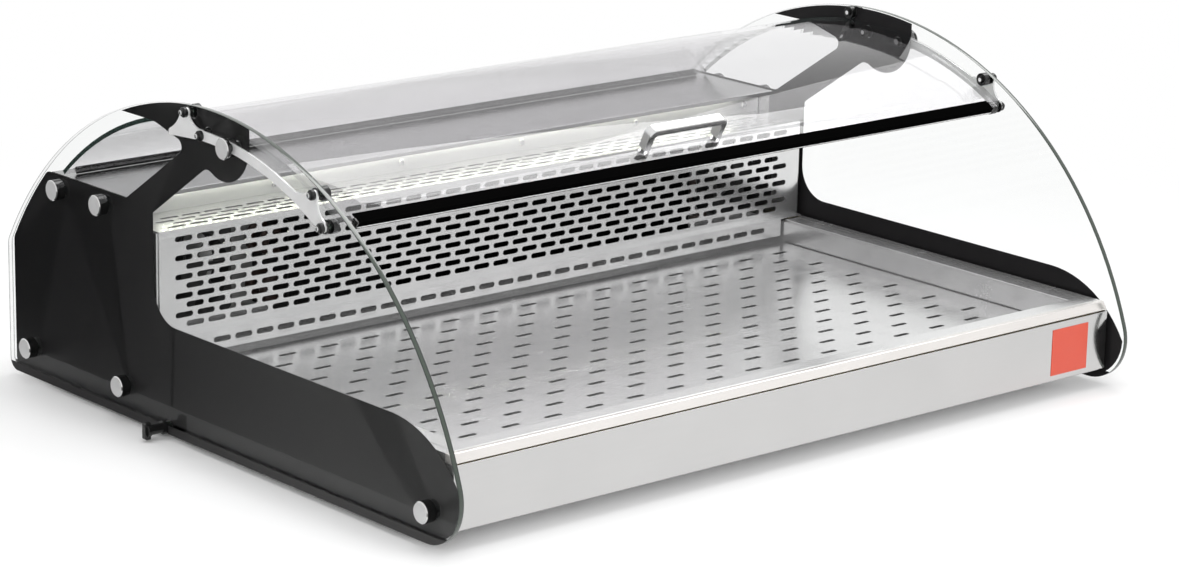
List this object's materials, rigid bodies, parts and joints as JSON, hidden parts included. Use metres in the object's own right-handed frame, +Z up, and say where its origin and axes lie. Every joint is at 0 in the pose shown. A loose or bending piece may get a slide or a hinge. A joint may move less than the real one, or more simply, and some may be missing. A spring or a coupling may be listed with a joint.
{
  "type": "fish display case",
  "caption": "Counter-top chilled display case with curved side glasses, a sliding bent-glass canopy, a perforated ice tray in a stainless base and a slotted air grille.",
  "frame": {"origin": "on the table, under the middle of the case", "axes": "+X to the right as seen from the front, -Y to the front where the case is filled, +Z up"},
  "size_m": [0.8341, 0.6698, 0.309],
  "materials": {
    "clear_glass": "clear, polished edges",
    "canopy_clear": "clear, bent",
    "black_print": "gloss black behind glass",
    "satin_steel": "satin",
    "bolt_steel": "bright",
    "black_nylon": "satin black",
    "black_rubber": "matt",
    "black_bar": "black anodised",
    "silver_line": "bright",
    "handle_satin": "satin",
    "brushed_sheet": "brushed",
    "bright_sheet": "fine brushed",
    "foam": "foam",
    "rear_sheet": "satin grey",
    "aluminium_fins": "plain",
    "copper": "plain",
    "black_plastic": "matt",
    "compressor_black": "gloss",
    "light_profile": "satin",
    "diffuser_white": "opal",
    "lens_dark": "smoked",
    "button_grey": "satin",
    "rocker_green": "gloss",
    "badge_red": "satin"
  },
  "bodies": {
    "case": {"left_side_glass": "clear_glass", "right_side_glass": "clear_glass", "side_prints": "black_print", "canopy_arms": "satin_steel", "standoff_caps": "satin_steel", "arm_bolts": "bolt_steel", "standoff_studs": "bolt_steel", "fixing_nuts": "bolt_steel", "panel_screws": "bolt_steel", "arm_bushes": "black_nylon", "guide_bushes": "black_nylon", "drain_pipe": "black_nylon", "standoff_washers": "black_rubber", "feet": "black_rubber", "compressor_mounts": "black_rubber", "left_side_plate": "brushed_sheet", "right_side_plate": "brushed_sheet", "base_floor": "brushed_sheet", "front_fascia": "brushed_sheet", "deck_rim": "brushed_sheet", "display_well": "brushed_sheet", "drain_strainer": "brushed_sheet", "air_grille": "brushed_sheet", "back_wall": "brushed_sheet", "housing_top": "brushed_sheet", "front_lip": "bright_sheet", "well_insulation": "foam", "partition": "foam", "rear_panel": "rear_sheet", "evaporator_fins": "aluminium_fins", "condenser_fins": "aluminium_fins", "evaporator_tubes": "copper", "condenser_tubes": "copper", "refrigerant_lines": "copper", "duct_fan_frames": "black_plastic", "condenser_fan_frame": "black_plastic", "controller": "black_plastic", "rocker_frame": "black_plastic", "mains_inlet": "black_plastic", "compressor": "compressor_black", "light_channel": "light_profile", "light_diffuser": "diffuser_white", "controller_lens": "lens_dark", "front_badge": "badge_red"},
    "canopy": {"canopy_glass": "canopy_clear", "front_bar": "black_bar", "bar_trim": "silver_line", "bar_end_caps": "black_nylon", "pull_handle": "handle_satin", "handle_screws": "bolt_steel", "canopy_rear_strip": "black_nylon"},
    "tray": {"ice_tray": "brushed_sheet"},
    "drain_tap": {"drain_knob": "black_nylon"},
    "left_fan": {"left_fan_rotor": "black_plastic"},
    "right_fan": {"right_fan_rotor": "black_plastic"},
    "condenser_fan": {"condenser_fan_rotor": "black_plastic"},
    "mains_rocker": {"rocker": "rocker_green"},
    "up_key": {"up_button": "button_grey"},
    "set_key": {"set_button": "button_grey"},
    "down_key": {"down_button": "button_grey"}
  },
  "joints": [
    {"name": "canopy_slide_round", "type": "hinge", "parent": "case", "child": "canopy", "pos_m": [0, 0.01685, -0.061], "axis": [1, 0, 0], "range_deg": [0, 34]},
    {"name": "tray_lift", "type": "slide", "parent": "case", "child": "tray", "axis": [0, 0, 1], "range_m": [0, 0.06]},
    {"name": "drain_tap_turn", "type": "hinge", "parent": "case", "child": "drain_tap", "pos_m": [-0.405, 0.08085, 0.01], "axis": [1, 0, 0], "range_deg": [0, 90]},
    {"name": "left_fan_spin", "type": "hinge", "parent": "case", "child": "left_fan", "pos_m": [-0.335, 0.14, 0.1314], "axis": [0, 1, 0], "continuous": true},
    {"name": "right_fan_spin", "type": "hinge", "parent": "case", "child": "right_fan", "pos_m": [0.335, 0.14, 0.1314], "axis": [0, 1, 0], "continuous": true},
    {"name": "condenser_fan_spin", "type": "hinge", "parent": "case", "child": "condenser_fan", "pos_m": [-0.215, 0.28, 0.093], "axis": [0, 1, 0], "continuous": true},
    {"name": "rocker_tip", "type": "hinge", "parent": "case", "child": "mains_rocker", "pos_m": [0.16, 0.32186, 0.103], "axis": [1, 0, 0], "range_deg": [0, 14]},
    {"name": "up_press", "type": "slide", "parent": "case", "child": "up_key", "axis": [0, -1, 0], "range_m": [0, 0.0008], "stiffness_N_per_m": 400, "springref_m": -0.0005},
    {"name": "set_press", "type": "slide", "parent": "case", "child": "set_key", "axis": [0, -1, 0], "range_m": [0, 0.0008], "stiffness_N_per_m": 400, "springref_m": -0.0005},
    {"name": "down_press", "type": "slide", "parent": "case", "child": "down_key", "axis": [0, -1, 0], "range_m": [0, 0.0008], "stiffness_N_per_m": 400, "springref_m": -0.0005}
  ]
}
